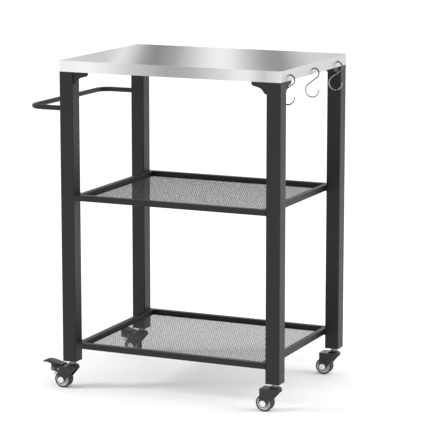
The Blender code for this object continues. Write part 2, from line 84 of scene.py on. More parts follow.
def joinLoops(loops, ring=False):
    # Skins one loop to the next; a ring closes on itself, anything else gets two end faces.
    bm = bmesh.new()
    rows = [[bm.verts.new(p) for p in loop] for loop in loops]
    pairs = list(zip(rows, rows[1:]))
    if ring:
        pairs.append((rows[-1], rows[0]))
    for low, high in pairs:
        for i in range(len(low)):
            j = (i + 1) % len(low)
            bm.faces.new((low[i], low[j], high[j], high[i]))
    if not ring:
        bm.faces.new(rows[0])
        bm.faces.new(rows[-1])
    bmesh.ops.recalc_face_normals(bm, faces=bm.faces)
    return bm


def extrude(outline, low, high, axis="Z"):
    # An outline in X and Y runs along Z, one in X and Z along Y, and one in Y and Z along X.
    order = {"Z": (0, 1, 2), "Y": (0, 2, 1), "X": (2, 0, 1)}[axis]
    loops = []
    for depth in (low, high):
        spots = [(p[0], p[1], depth) for p in outline]
        loops.append([Vector([spot[i] for i in order]) for spot in spots])
    return joinLoops(loops)


def lathe(profile, steps, ring=False, alongY=False):
    # A profile of (radius, height) spun round Z, or round Y.
    bm = bmesh.new()
    verts = [bm.verts.new((r, 0, z)) for r, z in profile]
    edges = [bm.edges.new(pair) for pair in zip(verts, verts[1:])]
    if ring:
        edges.append(bm.edges.new((verts[-1], verts[0])))
    bmesh.ops.spin(bm, geom=verts + edges, axis=(0, 0, 1), angle=math.tau, steps=steps, use_merge=True)
    bmesh.ops.remove_doubles(bm, verts=bm.verts, dist=1e-6)
    bmesh.ops.recalc_face_normals(bm, faces=bm.faces)
    if alongY:
        bm.transform(Matrix.Rotation(-math.pi / 2, 4, "X"))
    return bm


def sweep(path, normal, sections):
    # A flat path whose plane has this normal carries one round section for each of its points.
    loops = []
    for i, (point, radius) in enumerate(zip(path, sections)):
        along = (path[min(i + 1, len(path) - 1)] - path[max(i - 1, 0)]).normalized()
        side = along.cross(normal)
        loops.append([point + p.x * side + p.y * normal for p in circle(radius, 20)])
    return loops


def middleOf(node):
    low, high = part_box(node)
    return (low + high) / 2


def placed(bm, at):
    bm.transform(Matrix.Translation(at))
    return bm


def holdShape(name, shape):
    # Puts a bmesh or a mesh in the scene as an object.
    mesh = shape
    if isinstance(shape, bmesh.types.BMesh):
        mesh = bpy.data.meshes.new(name)
        shape.to_mesh(mesh)
        shape.free()
    thing = bpy.data.objects.new(name, mesh)
    bpy.context.scene.collection.objects.link(thing)
    return thing


def settle(thing):
    # The object with its modifiers run, as one plain mesh; the object itself goes.
    bpy.context.view_layer.update()
    graph = bpy.context.evaluated_depsgraph_get()
    mesh = bpy.data.meshes.new_from_object(thing.evaluated_get(graph), depsgraph=graph)
    bpy.data.objects.remove(thing)
    return mesh


def carve(solid, cuts):
    # Cuts are (shape, operation) pairs, taken in turn.
    body = holdShape("body", solid)
    tools = []
    for shape, operation in cuts:
        tool = holdShape("tool", shape)
        step = body.modifiers.new("cut", "BOOLEAN")
        step.operation = operation
        step.solver = "EXACT"
        step.object = tool
        tools.append(tool)
    mesh = settle(body)
    for tool in tools:
        bpy.data.objects.remove(tool)
    return mesh


def makePiece(name, shape, finish, body, stands=(), crease=35, soften=0.0, flat=False):
    # One finished piece: its shading and softened edges, its body and what it stands for.
    piece = holdShape(name, shape)
    material, slot = finish
    if not piece.data.materials:
        piece.data.materials.append(material)
    if not flat:
        piece.data.shade_smooth()
        piece.data.set_sharp_from_angle(angle=math.radians(crease))
        if soften:
            edges = piece.modifiers.new("soften", "BEVEL")
            edges.width = soften
            edges.segments = 2
            edges.limit_method = "ANGLE"
            edges.angle_limit = math.radians(crease)
        weigh = piece.modifiers.new("weigh", "WEIGHTED_NORMAL")
        weigh.keep_sharp = not soften
    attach(piece, body)
    if stands:
        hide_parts(*stands)


# Nodes, for finishes and for Geometry Nodes alike.
def hexToLinear(code):
    shares = [int(code[i : i + 2], 16) / 255 for i in (1, 3, 5)]
    linear = [s / 12.92 if s <= 0.04045 else ((s + 0.055) / 1.055) ** 2.4 for s in shares]
    return (*linear, 1.0)


def addNode(tree, kind, inputs=None, **settings):
    node = tree.nodes.new(kind)
    for name, value in settings.items():
        setattr(node, name, value)
    for key, value in (inputs or {}).items():
        for source in value if isinstance(value, list) else [value]:
            if isinstance(source, bpy.types.NodeSocket):
                tree.links.new(source, node.inputs[key])
            else:
                node.inputs[key].default_value = source
    return node


def startFinish(name, shaderInputs):
    material = bpy.data.materials.new(name)
    material.use_nodes = True
    tree = material.node_tree
    tree.nodes.clear()
    shader = addNode(tree, "ShaderNodeBsdfPrincipled", shaderInputs)
    addNode(tree, "ShaderNodeOutputMaterial", {"Surface": shader.outputs["BSDF"]})
    place = addNode(tree, "ShaderNodeTexCoord").outputs["Object"]
    return material, tree, shader, place


def setStops(ramp, stops):
    # Stops are (place, hex colour) pairs, spread over the ramp from the first place to the last.
    band = ramp.color_ramp
    while len(band.elements) < len(stops):
        band.elements.new(0.5)
    low, high = stops[0][0], stops[-1][0]
    for element, (at, code) in zip(band.elements, stops):
        element.position = (at - low) / (high - low)
        element.color = hexToLinear(code)


def joinFinish(tree, shader, colour=None, roughness=None, normal=None):
    for name, source in (("Base Color", colour), ("Roughness", roughness), ("Normal", normal)):
        if source:
            tree.links.new(source, shader.inputs[name])


# A real belt-brushed streak is 0.1 mm wide; these are 1.2 mm, as coarse as they need to be to show.
# The bands are painted reflection: broad light and dark sheen laid into the steel's colour and fixed on the
# sheet. Each gives a place in mm and the painted tone there.
brushed = {
    "streakLength": 90 * mm,
    "streakWidth": 1.2 * mm,
    "gloss": (0.20, 0.34),
    "height": 0.003 * mm,
    "worktopReflectionTurn": 24,  # degrees that the broad bands lean from the short way of the top
    "worktopReflectionBands": (
        (-300, "#E6E6E6"), (-245, "#E0E0E0"), (-212, "#E3E3E3"), (-172, "#F0F0F0"), (-132, "#D2D2D2"),
        (-98, "#AFAFAF"), (-62, "#B3B3B3"), (-20, "#CCCCCC"), (20, "#E6E6E6"), (80, "#F9F9F9"),
        (130, "#EAEAEA"), (180, "#C6C6C6"), (230, "#B3B3B3"), (262, "#C9C9C9"), (308, "#E1E1E1"),
        (372, "#E2E2E2"),
    ),
    "skirtReflectionBands": (
        (-240, "#E9E9E9"), (-150, "#ECECEC"), (-70, "#CDCDCD"), (10, "#AFAFAF"), (60, "#A5A5A5"),
        (120, "#B9B9B9"), (190, "#D8D8D8"), (240, "#E3E3E3"), (275, "#C5C5C5"), (290, "#CBCBCB"),
        (322, "#DCDCDC"),
    ),
}  # fmt: skip


def brushedStainless(name, reflectionBands, turn):
    # Stainless sheet brushed lengthways: fine streaks, a stretched gloss, and broad light and dark bands of
    # painted reflection in its colour.
    material, tree, shader, place = startFinish(name, {"Metallic": 1.0, "Anisotropic": 0.5})
    apart = addNode(tree, "ShaderNodeSeparateXYZ", {"Vector": place})
    slope = math.tan(math.radians(turn))
    leaning = {0: apart.outputs["Y"], 1: slope, 2: apart.outputs["X"]}
    lean = addNode(tree, "ShaderNodeMath", leaning, operation="MULTIPLY_ADD")
    reach = {"Value": lean.outputs[0], "From Min": reflectionBands[0][0] * mm, "From Max": reflectionBands[-1][0] * mm}
    share = addNode(tree, "ShaderNodeMapRange", reach)
    # Painted reflection: the light and dark bands, laid across the top along the lean.
    paintedReflection = addNode(tree, "ShaderNodeValToRGB", {"Fac": share.outputs["Result"]})
    paintedReflection.color_ramp.interpolation = "CARDINAL"
    setStops(paintedReflection, reflectionBands)
    grain = addNode(tree, "ShaderNodeUVMap", uv_map="grain").outputs["UV"]
    streak = {"Vector": grain, "Scale": (1 / brushed["streakLength"], 1 / brushed["streakWidth"], 1)}
    drawn = addNode(tree, "ShaderNodeMapping", streak).outputs["Vector"]
    fine = addNode(tree, "ShaderNodeTexNoise", {"Vector": drawn, "Scale": 1.0, "Detail": 3.0})
    lines = fine.outputs["Fac"]
    tone = addNode(tree, "ShaderNodeValToRGB", {"Fac": lines})
    setStops(tone, ((0, "#F2F2F2"), (1, "#FFFFFF")))
    layers = {0: 1.0, 6: paintedReflection.outputs["Color"], 7: tone.outputs["Color"]}
    colour = addNode(tree, "ShaderNodeMix", layers, data_type="RGBA", blend_type="MULTIPLY").outputs[2]
    low, high = brushed["gloss"]
    rough = addNode(tree, "ShaderNodeMapRange", {"Value": lines, "To Min": low, "To Max": high})
    bump = addNode(tree, "ShaderNodeBump", {"Height": lines, "Distance": brushed["height"]})
    along = addNode(tree, "ShaderNodeTangent", direction_type="UV_MAP", uv_map="grain")
    joinFinish(tree, shader, colour, rough.outputs["Result"], bump.outputs["Normal"])
    # The painted reflection bands tint the specular as well as the base colour.
    tree.links.new(colour, shader.inputs["Specular Tint"])
    tree.links.new(along.outputs["Tangent"], shader.inputs["Tangent"])
    return material


def dress(tree, shader, tint, relief, look):
    # Colour and gloss follow one pattern, and the relief follows another.
    colour = addNode(tree, "ShaderNodeValToRGB", {"Fac": tint})
    setStops(colour, tuple(enumerate(look["colours"])))
    low, high = look["gloss"]
    rough = addNode(tree, "ShaderNodeMapRange", {"Value": tint, "To Min": low, "To Max": high})
    bump = addNode(tree, "ShaderNodeBump", {"Height": relief, "Distance": look["height"]})
    joinFinish(tree, shader, colour.outputs["Color"], rough.outputs["Result"], bump.outputs["Normal"])


# Powder coat is sprayed as dust and baked, so it flows into a fine orange peel.
coat = {
    "colours": ("#0B0B0B", "#111111"), "gloss": (0.40, 0.52), "drift": 60 * mm, "peel": 1.4 * mm,
    "height": 0.03 * mm,
}  # fmt: skip


def satinPowderCoat():
    # Black polyester powder: an even satin, a fine orange peel and a gloss that drifts a little.
    soft = {"IOR": 1.5, "Specular IOR Level": 0.38}
    material, tree, shader, place = startFinish("satin_black_powder_coat", soft)
    drift = addNode(tree, "ShaderNodeTexNoise", {"Vector": place, "Scale": 1 / coat["drift"], "Detail": 3.0})
    peel = addNode(tree, "ShaderNodeTexNoise", {"Vector": place, "Scale": 1 / coat["peel"], "Detail": 2.0})
    dress(tree, shader, drift.outputs["Fac"], peel.outputs["Fac"], coat)
    return material


# The mesh takes a thinner coat. Paler flecks scattered over it are painted glints that stand for cut edges
# catching light.
meshCoat = {"colours": ("#161617", "#2A2A2B"), "gloss": (0.32, 0.46), "paintedGlint": 3.0 * mm, "height": 0.02 * mm}


def thinPowderCoat():
    # Powder coat on slit and stretched sheet: black strands, with paler flecks at random painted as glints
    # where a cut edge would catch light.
    material, tree, shader, place = startFinish("thin_powder_coat_on_mesh", {"IOR": 1.5})
    spots = {"Vector": place, "Scale": 1 / meshCoat["paintedGlint"], "Detail": 2.0}
    paintedGlint = addNode(tree, "ShaderNodeTexNoise", spots).outputs["Fac"]
    # Painted glints: the paler flecks stand for light off the cut edges.
    dress(tree, shader, paintedGlint, paintedGlint, meshCoat)
    return material


enamel = {
    "colours": ("#070707", "#0E0E0E"), "gloss": (0.22, 0.36), "cloud": 9 * mm, "ripple": 2.2 * mm,
    "height": 0.02 * mm,
}  # fmt: skip


def dippedEnamel():
    # Pressed steel dipped in black enamel: glossier than the legs, with slow ripples where it drained.
    glossy = {"IOR": 1.5, "Specular IOR Level": 0.42, "Coat Weight": 0.2}
    material, tree, shader, place = startFinish("dipped_black_enamel", glossy)
    spots = {"Vector": place, "Scale": 1 / enamel["cloud"], "Detail": 4.0}
    cloud = addNode(tree, "ShaderNodeTexNoise", spots)
    drained = addNode(tree, "ShaderNodeMapping", {"Vector": place, "Scale": (1, 1, 0.4)}).outputs["Vector"]
    ripple = addNode(tree, "ShaderNodeTexNoise", {"Vector": drained, "Scale": 1 / enamel["ripple"]})
    dress(tree, shader, cloud.outputs["Fac"], ripple.outputs["Fac"], enamel)
    return material


blackNylon = {
    "colours": ("#0B0B0B", "#161616"), "gloss": (0.34, 0.48), "flow": 14 * mm, "spark": 0.6 * mm,
    "height": 0.03 * mm,
}  # fmt: skip


def mouldedBlackNylon():
    # Injection-moulded nylon from a spark-eroded tool: a fine even grain over faint flow marks.
    material, tree, shader, place = startFinish("moulded_black_nylon", {"IOR": 1.53})
    swirl = {"Vector": place, "Scale": 1 / blackNylon["flow"], "Distortion": 1.5}
    flow = addNode(tree, "ShaderNodeTexNoise", swirl)
    grain = addNode(tree, "ShaderNodeTexVoronoi", {"Vector": place, "Scale": 1 / blackNylon["spark"]})
    dress(tree, shader, flow.outputs["Fac"], grain.outputs["Distance"], blackNylon)
    return material


greyNylon = {
    "colours": ("#B4B5B7", "#CDCED0"), "gloss": (0.30, 0.42), "flow": 6 * mm, "spark": 0.7 * mm,
    "height": 0.02 * mm,
}  # fmt: skip


def mouldedGreyNylon():
    # Pale grey nylon, natural with a little pigment: waxy, so light sinks in slightly at the edges.
    waxy = {"IOR": 1.53, "Subsurface Weight": 0.15, "Subsurface Scale": 1.5 * mm}
    material, tree, shader, place = startFinish("moulded_grey_nylon", waxy)
    flow = addNode(tree, "ShaderNodeTexNoise", {"Vector": place, "Scale": 1 / greyNylon["flow"]})
    grain = addNode(tree, "ShaderNodeTexVoronoi", {"Vector": place, "Scale": 1 / greyNylon["spark"]})
    dress(tree, shader, flow.outputs["Fac"], grain.outputs["Distance"], greyNylon)
    return material


rubber = {
    "colours": ("#1B1B1B", "#343434"), "gloss": (0.55, 0.75), "patch": 7 * mm, "grit": 0.8 * mm,
    "height": 0.05 * mm,
}  # fmt: skip


def mouldedTyreRubber():
    # Thermoplastic rubber: matt, with a pale bloom in patches and a slightly gritty skin.
    material, tree, shader, place = startFinish("moulded_tyre_rubber", {"Specular IOR Level": 0.4})
    spots = {"Vector": place, "Scale": 1 / rubber["patch"], "Detail": 5.0}
    bloom = addNode(tree, "ShaderNodeTexNoise", spots)
    grit = addNode(tree, "ShaderNodeTexNoise", {"Vector": place, "Scale": 1 / rubber["grit"]})
    dress(tree, shader, bloom.outputs["Fac"], grit.outputs["Fac"], rubber)
    return material


zinc = {
    "colours": ("#77797D", "#9C9C9A"), "gloss": (0.26, 0.46), "stain": 18 * mm, "crystal": 2.4 * mm,
    "height": 0.01 * mm,
}  # fmt: skip


def zincPlate():
    # Electroplated zinc with a clear passivate: grey metal, faintly crystalline, cool and warm in turn.
    material, tree, shader, place = startFinish("bright_zinc_plate", {"Metallic": 1.0})
    stain = addNode(tree, "ShaderNodeTexNoise", {"Vector": place, "Scale": 1 / zinc["stain"], "Detail": 3.0})
    crystal = addNode(tree, "ShaderNodeTexVoronoi", {"Vector": place, "Scale": 1 / zinc["crystal"]})
    both = {0: 0.3, 2: stain.outputs["Fac"], 3: crystal.outputs["Distance"]}
    share = addNode(tree, "ShaderNodeMix", both).outputs[0]
    dress(tree, shader, share, crystal.outputs["Distance"], zinc)
    return material


# Both kinds of nickel carry the haze and the faint lines that tumbling leaves. The wire's top, where it
# hangs in its hole under the worktop's edge, is painted dark as shade: the pair of heights gives where this
# painted shade starts and where it is complete.
capNickel = {
    "colours": ("#D4D4D6", "#F4F4F5"), "gloss": (0.12, 0.22), "haze": 4 * mm, "line": 0.5 * mm,
    "height": 0.003 * mm,
}  # fmt: skip
wireNickel = {
    "colours": ("#343435", "#C4C4C5"), "gloss": (0.16, 0.28), "haze": 9 * mm, "line": 0.4 * mm,
    "height": 0.003 * mm, "paintedShade": (752 * mm, 773 * mm),
}  # fmt: skip


def tumbledNickel(name, look):
    # Nickel over steel, tumbled with stone: nearly a mirror on the caps, duller on the drawn wire.
    material, tree, shader, place = startFinish(name, {"Metallic": 1.0})
    haze = addNode(tree, "ShaderNodeTexNoise", {"Vector": place, "Scale": 1 / look["haze"], "Detail": 4.0})
    line = addNode(tree, "ShaderNodeTexNoise", {"Vector": place, "Scale": 1 / look["line"], "Detail": 1.0})
    share = haze.outputs["Fac"]
    # Painted shade: the wire goes dark above these heights, under the worktop's edge.
    if "paintedShade" in look:
        apart = addNode(tree, "ShaderNodeSeparateXYZ", {"Vector": place})
        start, full = look["paintedShade"]
        fade = {"Value": apart.outputs["Z"], "From Min": full, "From Max": start}
        bright = addNode(tree, "ShaderNodeMapRange", fade)
        both = {0: share, 1: bright.outputs["Result"]}
        share = addNode(tree, "ShaderNodeMath", both, operation="MULTIPLY").outputs[0]
    dress(tree, shader, share, line.outputs["Fac"], look)
    return material


worktopSteel = brushedStainless("brushed_worktop_steel", brushed["worktopReflectionBands"], brushed["worktopReflectionTurn"])
skirtSteel = brushedStainless("brushed_skirt_steel", brushed["skirtReflectionBands"], 0)
coated = (satinPowderCoat(), "black_frame")
meshed = (thinPowderCoat(), "black_mesh")
enamelled = (dippedEnamel(), "fork_paint")
moulded = (mouldedBlackNylon(), "black_plastic")
hubbed = (mouldedGreyNylon(), "wheel_hub")
tyred = (mouldedTyreRubber(), "tyre")
plated = (zincPlate(), "zinc_plate")
capped = (tumbledNickel("bright_nickel_caps", capNickel), "axle_cap")
wired = (tumbledNickel("drawn_nickel_wire", wireNickel), "hook_steel")
print("finishes made")


# Geometry Nodes: each tree has named inputs and ends in realised, coated geometry.
def startTree(name, inputs):
    tree = bpy.data.node_groups.new(name, "GeometryNodeTree")
    for label, kind in (("Geometry", "Geometry"), *inputs):
        tree.interface.new_socket(label, in_out="INPUT", socket_type="NodeSocket" + kind)
    tree.interface.new_socket("Geometry", in_out="OUTPUT", socket_type="NodeSocketGeometry")
    return tree, addNode(tree, "NodeGroupInput").outputs


def endTree(tree, made, finish):
    whole = addNode(tree, "GeometryNodeRealizeInstances", {"Geometry": made})
    painted = {"Geometry": whole.outputs["Geometry"], "Material": finish}
    coatedNode = addNode(tree, "GeometryNodeSetMaterial", painted)
    addNode(tree, "NodeGroupOutput", {"Geometry": coatedNode.outputs["Geometry"]})
    return tree


def grow(tree, values, guide=None):
    thing = holdShape(tree.name, guide or bpy.data.meshes.new(tree.name))
    step = thing.modifiers.new(tree.name, "NODES")
    step.node_group = tree
    for item in tree.interface.items_tree:
        if item.in_out == "INPUT" and item.name in values:
            step[item.identifier] = values[item.name]
    return settle(thing)


def expandedMeshTree():
    # Diamond rings on a grid; each shares its points with its neighbours, so one grid draws every strand.
    sizes = ("Diamond Width", "Diamond Length", "Strand Width", "Strand Thickness", "Border")
    inputs = [("Across", "Int"), ("Along", "Int"), ("Finish", "Material")]
    inputs += [(label, "Float") for label in ("Panel Length", "Panel Width", *sizes)]
    tree, given = startTree("expanded_mesh", inputs)
    spans = []
    for count, size in (("Across", "Diamond Width"), ("Along", "Diamond Length")):
        gaps = addNode(tree, "ShaderNodeMath", {0: given[count], 1: 1.0}, operation="SUBTRACT")
        reach = {0: gaps.outputs[0], 1: given[size]}
        spans.append(addNode(tree, "ShaderNodeMath", reach, operation="MULTIPLY"))
    layout = {"Size X": spans[0].outputs[0], "Size Y": spans[1].outputs[0]}
    layout |= {"Vertices X": given["Across"], "Vertices Y": given["Along"]}
    grid = addNode(tree, "GeometryNodeMeshGrid", layout)
    half = addNode(tree, "ShaderNodeMath", {0: given["Diamond Length"], 1: 0.5}, operation="MULTIPLY")
    kite = {"Width": given["Diamond Width"], "Bottom Height": half.outputs[0], "Top Height": half.outputs[0]}
    diamond = addNode(tree, "GeometryNodeCurvePrimitiveQuadrilateral", kite, mode="KITE")
    strand = {"Width": given["Strand Width"], "Height": given["Strand Thickness"]}
    section = addNode(tree, "GeometryNodeCurvePrimitiveQuadrilateral", strand)
    ring = {"Curve": diamond.outputs["Curve"], "Profile Curve": section.outputs["Curve"]}
    link = addNode(tree, "GeometryNodeCurveToMesh", ring)
    spread = {"Points": grid.outputs["Mesh"], "Instance": link.outputs["Mesh"]}
    field = addNode(tree, "GeometryNodeInstanceOnPoints", spread)
    edge = {"Width": given["Panel Length"], "Height": given["Panel Width"]}
    outline = addNode(tree, "GeometryNodeCurvePrimitiveQuadrilateral", edge)
    strip = {"Width": given["Border"], "Height": given["Strand Thickness"]}
    flat = addNode(tree, "GeometryNodeCurvePrimitiveQuadrilateral", strip)
    border = {"Curve": outline.outputs["Curve"], "Profile Curve": flat.outputs["Curve"]}
    rim = addNode(tree, "GeometryNodeCurveToMesh", border)
    both = [field.outputs["Instances"], rim.outputs["Mesh"]]
    whole = addNode(tree, "GeometryNodeJoinGeometry", {"Geometry": both})
    return endTree(tree, whole.outputs["Geometry"], given["Finish"])


def beadTree():
    # A weld bead: overlapping drops along every seam, a little uneven.
    inputs = [("Pitch", "Float"), ("Radius", "Float"), ("Seed", "Int"), ("Finish", "Material")]
    tree, given = startTree("weld_bead", inputs)
    seams = addNode(tree, "GeometryNodeMeshToCurve", {"Mesh": given["Geometry"]})
    steps = {"Curve": seams.outputs["Curve"], "Length": given["Pitch"]}
    dots = addNode(tree, "GeometryNodeCurveToPoints", steps, mode="LENGTH")
    drop = addNode(tree, "GeometryNodeMeshUVSphere", {"Segments": 8, "Rings": 5, "Radius": given["Radius"]})
    uneven = addNode(tree, "FunctionNodeRandomValue", {2: 0.85, 3: 1.15, "Seed": given["Seed"]})
    spots = {"Points": dots.outputs["Points"], "Instance": drop.outputs["Mesh"], "Scale": uneven.outputs[1]}
    field = addNode(tree, "GeometryNodeInstanceOnPoints", spots)
    smooth = addNode(tree, "GeometryNodeSetShadeSmooth", {"Geometry": field.outputs["Instances"]})
    return endTree(tree, smooth.outputs["Geometry"], given["Finish"])


def copiesTree():
    # One shape at each point of the guide.
    tree, given = startTree("copies_on_points", [("Shape", "Object"), ("Finish", "Material")])
    shape = addNode(tree, "GeometryNodeObjectInfo", {"Object": given["Shape"]})
    spots = {"Points": given["Geometry"], "Instance": shape.outputs["Geometry"]}
    field = addNode(tree, "GeometryNodeInstanceOnPoints", spots)
    return endTree(tree, field.outputs["Instances"], given["Finish"])


def guideMesh(runs):
    # Each run of points becomes a line of edges, and a run of one point stays a point.
    points, edges = [], []
    for run in runs:
        start = len(points)
        points += [tuple(p) for p in run]
        edges += [(start + i, start + i + 1) for i in range(len(run) - 1)]
    mesh = bpy.data.meshes.new("guide")
    mesh.from_pydata(points, edges, [])
    return mesh


meshPanelTree = expandedMeshTree()
weldTree = beadTree()
copyTree = copiesTree()


def copyTo(points, shape, finish):
    # One mesh with a copy of the shape at each point.
    sample = holdShape("sample", shape)
    mesh = grow(copyTree, {"Shape": sample, "Finish": finish[0]}, guideMesh([[p] for p in points]))
    bpy.data.objects.remove(sample)
    return mesh


# The top: one sheet folded down on four sides, with a lip turned in under it.
top = {"sheet": 1.2 * mm, "lip": 15 * mm, "fold": 1.6 * mm, "corner": 2.5 * mm, "lowFold": 1.0 * mm}
# One wire bent into two loops. "inner" and "tip" are the degrees round them where it starts and ends.
hook = {
    "wire": 1.5 * mm, "upper": 11.5 * mm, "lower": 16.5 * mm, "shift": -5 * mm, "drop": 51 * mm,
    "hole": 3.5 * mm, "gap": 0.3 * mm, "inner": 198, "tip": 363,
}  # fmt: skip
hookNames = ("front_hook", "middle_hook", "back_hook")


def makeTop():
    half = (topHigh - topLow) / 2
    centre = middleOf("tabletop")
    sheet, lip, fold, lowFold = top["sheet"], top["lip"], top["fold"], top["lowFold"]
    under = topLow.z + sheet
    levels = [(sheet, topHigh.z - sheet), (sheet, under), (lip, under), (lip, topLow.z)]
    levels += [(p.x, topLow.z + p.y) for p in arc((lowFold, lowFold), lowFold, 270, 180, 5)]
    levels += [(p.x, topHigh.z + p.y) for p in arc((fold, -fold), fold, 180, 90, 7)]
    loops = []
    for inset, z in levels:
        radius = max(top["corner"] - inset, top["corner"] / 5)
        outline = roundedOutline(half.x - inset, half.y - inset, radius, 8)
        loops.append(raised(outline, z, centre))
    cuts = []
    reach = hook["upper"] + 3 * hook["wire"]
    for name in hookNames:
        y = middleOf(name).y
        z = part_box(name)[1].z - 2 * hook["wire"] - hook["gap"] + hook["hole"]
        hole = extrude(circle(hook["hole"], 32), topHigh.x - 2 * sheet, topHigh.x + sheet, "X")
        cuts.append((placed(hole, (0, y, z)), "DIFFERENCE"))
        edge = topHigh.x - sheet - hook["gap"]
        notch = [(edge - reach, y - reach), (edge, y - reach), (edge, y + reach), (edge - reach, y + reach)]
        cuts.append((extrude(notch, topLow.z - sheet, topLow.z + 2 * sheet), "DIFFERENCE"))
    mesh = carve(joinLoops(loops), cuts)
    mesh.materials.clear()
    mesh.materials.append(skirtSteel)
    mesh.materials.append(worktopSteel)
    mostly = 0.7  # of a face's normal, when the face counts as level or as facing an end
    grain = mesh.uv_layers.new(name="grain")
    for face in mesh.polygons:
        face.material_index = int(face.normal.z > 0.5 and face.center.z > topHigh.z - fold)
        across = 1 if abs(face.normal.z) >= mostly else 2
        along = 1 if abs(face.normal.x) > mostly else 0
        for corner in face.loop_indices:
            spot = mesh.vertices[mesh.loops[corner].vertex_index].co
            grain.data[corner].uv = (spot[along], spot[across])
    makePiece("worktop", mesh, (None, "stainless_top"), "cart", ["tabletop"])


# Bent hat bars, spot-welded under the sheet.
bar = {"flange": 12 * mm, "sheet": 1.2 * mm, "ease": 0.5 * mm, "spotPitch": 50 * mm, "spot": 2.5 * mm}


def makeStiffeners():
    spots = []
    for name in ("front_stiffener", "back_stiffener"):
        low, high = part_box(name)
        y = (low.y + high.y) / 2
        half = (high.y - low.y) / 2
        inner = half - bar["flange"]
        sheet = bar["sheet"]
        outside = [(-half, high.z - sheet), (-inner - sheet, high.z - sheet), (-inner - sheet, low.z)]
        inside = [(-half, high.z), (-inner, high.z), (-inner, low.z + sheet)]
        outline = outside + [(-p[0], p[1]) for p in outside[::-1]]
        outline += [(-p[0], p[1]) for p in inside] + inside[::-1]
        shape = extrude([(y + p[0], p[1]) for p in outline], low.x, high.x, "X")
        makePiece(name + "_bar", shape, plated, "cart", [name], soften=bar["ease"])
        count = int((high.x - low.x) / bar["spotPitch"])
        for side in (-1, 1):
            across = y + side * (half - bar["flange"] / 2)
            start = (low.x + high.x) / 2 - (count - 1) * bar["spotPitch"] / 2
            spots += [(start + i * bar["spotPitch"], across, high.z - sheet) for i in range(count)]
    lens = lathe([(0, -0.3 * mm), (bar["spot"] * 0.7, -0.2 * mm), (bar["spot"], 0)], 12)
    makePiece("spot_welds", copyTo(spots, lens, plated), plated, "cart")


# Legs of 35 mm square tube, open below, with a moulded plug pushed in.
leg = {"corner": 2.5 * mm, "wall": 1.5 * mm, "mouth": 0.3 * mm, "plugEase": 0.4 * mm}


def makeLegs():
    for corner in corners:
        low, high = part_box(corner + "_leg")
        half = (high.x - low.x) / 2
        at = (low + high) / 2
        wall, mouth = leg["wall"], leg["mouth"]
        levels = [(mouth, low.z), (0, low.z + mouth), (0, high.z)]
        levels += [(wall, high.z), (wall, low.z + mouth), (wall - mouth, low.z)]
        loops = []
        for inset, z in levels:
            outline = roundedOutline(half - inset, half - inset, leg["corner"] - inset)
            loops.append(raised(outline, z, at))
        makePiece(corner + "_tube", joinLoops(loops, ring=True), coated, "cart", [corner + "_leg"])


def softCopy(node, name, finish, body, soften):
    # The CAD solid with its points merged and its edges softened.
    bm = bmesh.new()
    bm.from_mesh(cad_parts[node].data)
    bmesh.ops.remove_doubles(bm, verts=bm.verts, dist=0.001 * mm)
    bmesh.ops.dissolve_limit(bm, angle_limit=math.radians(1), verts=bm.verts, edges=bm.edges)
    mesh = bpy.data.meshes.new(name)
    bm.to_mesh(mesh)
    bm.free()
    makePiece(name, mesh, finish, body, [node], soften=soften)


# Pressed gussets, welded to the legs; those along the length carry a flange with a screw.
gusset = {
    "length": 38 * mm, "gap": 0.3 * mm, "inset": 3.5 * mm, "plate": 3 * mm,
    "flangePlate": 2 * mm, "flangeEnd": 33 * mm, "screwAcross": 0.62, "ease": 0.35 * mm,
    "nose": ((38.0, -3.0), (38.0, -8.0), (34.5, -9.3), (30.0, -10.3)),
    "cove": ((30.0, -10.3), (20.0, -12.5), (13.0, -14.5), (9.5, -21.0)),
    "toe": ((9.5, -21.0), (7.5, -25.0), (5.0, -27.0), (0.3, -28.0)),
}  # fmt: skip


def gussetOutline():
    # X is the distance from the leg and Y the height under the top: an ogee from a blunt nose to the leg.
    gap = gusset["gap"]
    outline = [Vector((gap, -gap)), Vector((gusset["length"], -gap))]
    for curve in ("nose", "cove", "toe"):
        outline += [p * mm for p in bezier(gusset[curve], 14)]
    return withoutRepeats(outline)


def makeGussets():
    screws = []
    for corner in corners:
        legLow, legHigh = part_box(corner + "_leg")
        for kind in ("end", "side"):
            node = f"{corner}_{kind}_gusset"
            low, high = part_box(node)
            axis, across = (0, 1) if kind == "end" else (1, 0)
            inward = 1 if (low[axis] + high[axis]) / 2 > (legLow[axis] + legHigh[axis]) / 2 else -1
            start = legHigh[axis] if inward > 0 else legLow[axis]
            outline = [(start + inward * p.x, topLow.z + p.y) for p in gussetOutline()]
            outer = 1 if legLow[across] + legHigh[across] > topLow[across] + topHigh[across] else -1
            face = high[across] if outer > 0 else low[across]
            depths = sorted((face, face - outer * gusset["plate"]))
            plate = extrude(outline, *depths, "Y" if kind == "end" else "X")
            cuts = []
            if kind == "end":
                far = sorted(start + inward * gusset[end] for end in ("gap", "flangeEnd"))
                near = sorted((face - outer * gusset["gap"], low.y if outer > 0 else high.y))
                flange = [(far[0], near[0]), (far[1], near[0]), (far[1], near[1]), (far[0], near[1])]
                under = high.z - gusset["flangePlate"]
                cuts.append((extrude(flange, under, high.z), "UNION"))
                screws.append((sum(far) / 2, face - outer * (high.y - low.y) * gusset["screwAcross"], under))
            makePiece(f"{node}_plate", carve(plate, cuts), coated, "cart", [node], 30, gusset["ease"])
    makeScrews(screws)


# Pan-head screws with a cross recess, heads down.
screw = {"radius": 3.4 * mm, "height": 2.0 * mm, "slot": 0.5 * mm, "depth": 0.9 * mm}


